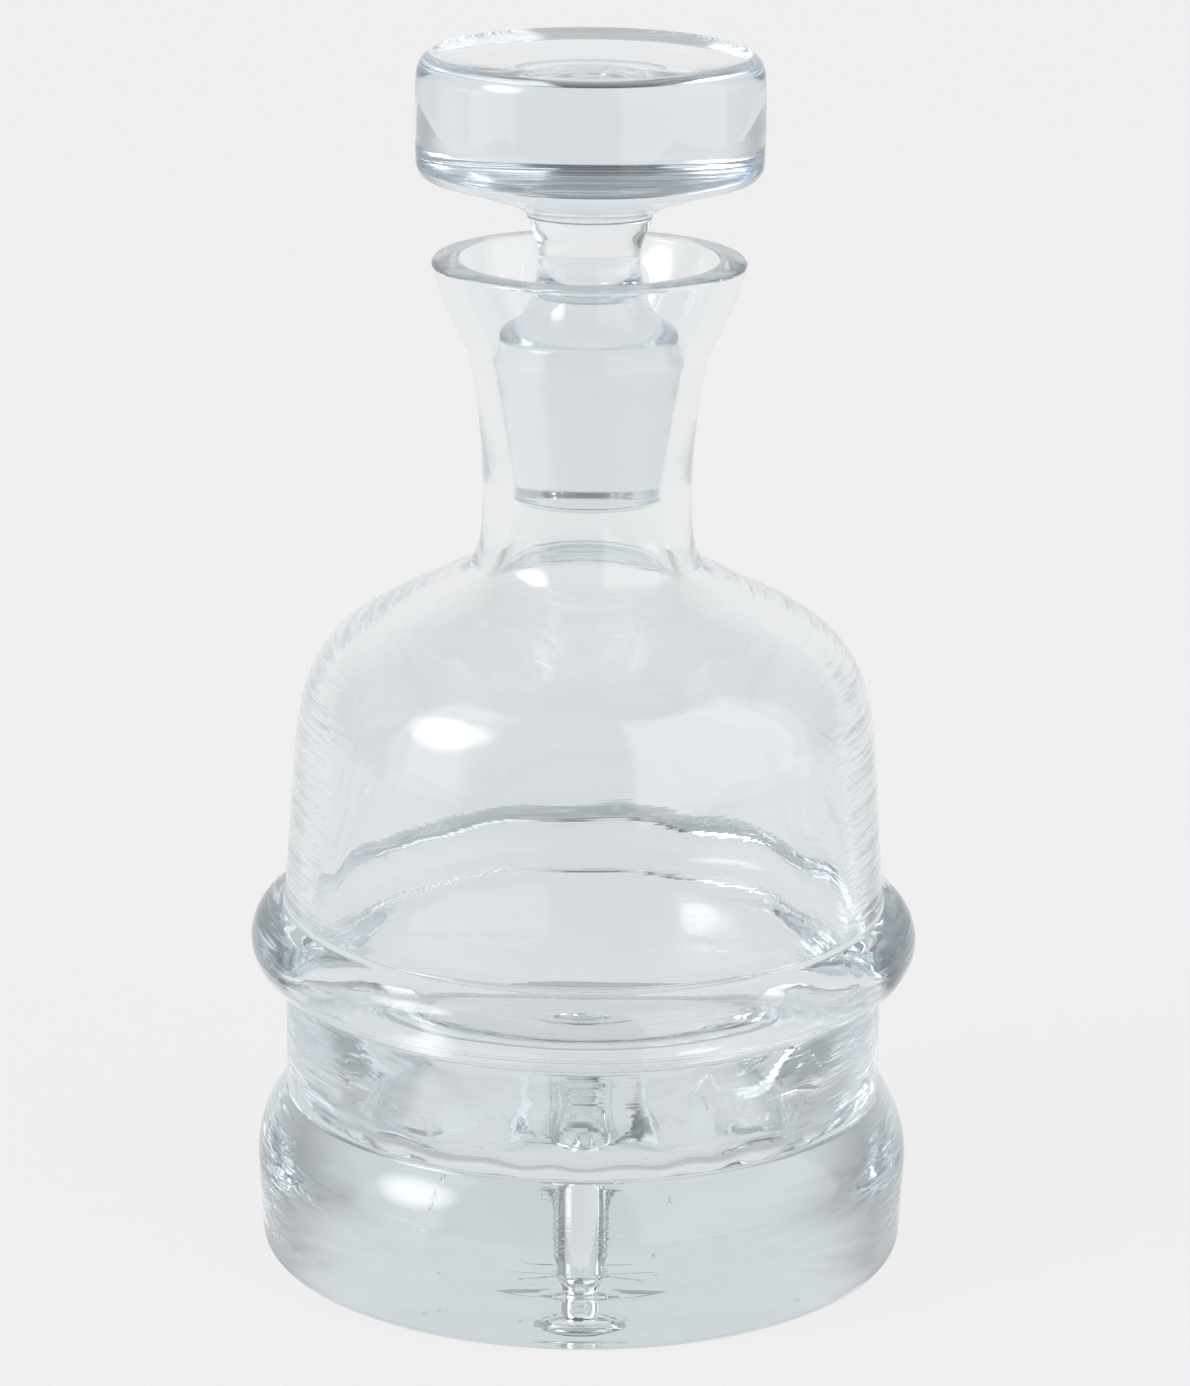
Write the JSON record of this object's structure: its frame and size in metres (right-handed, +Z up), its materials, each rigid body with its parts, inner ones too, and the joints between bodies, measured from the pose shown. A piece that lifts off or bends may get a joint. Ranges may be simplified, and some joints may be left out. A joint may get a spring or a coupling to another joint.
{
  "type": "glass decanter",
  "caption": "Heavy clear glass decanter with a thick foot, a fused ring round the body, a cupped mouth and a solid ground stopper that lifts out.",
  "frame": {"origin": "middle of the face that the foot stands on", "axes": "+Z up along the axis of the bottle and the stopper; the decanter is round, so X and Y are free"},
  "size_m": [0.1324, 0.1324, 0.2407],
  "materials": {
    "bottle_glass": "clear fire-polished blown glass with a faint cool tint, slight waves and a few seeds, a trapped air bubble in the thick base, ground flat rim and ground throat",
    "stopper_glass": "clear polished solid glass with a faint cool tint, finely ground taper on the plug"
  },
  "bodies": {
    "bottle": {"bottle": "bottle_glass"},
    "stopper": {"stopper": "stopper_glass"}
  },
  "joints": [
    {"name": "stopper_lift", "type": "slide", "parent": "bottle", "child": "stopper", "axis": [0, 0, 1], "range_m": [0, 0.055]}
  ]
}
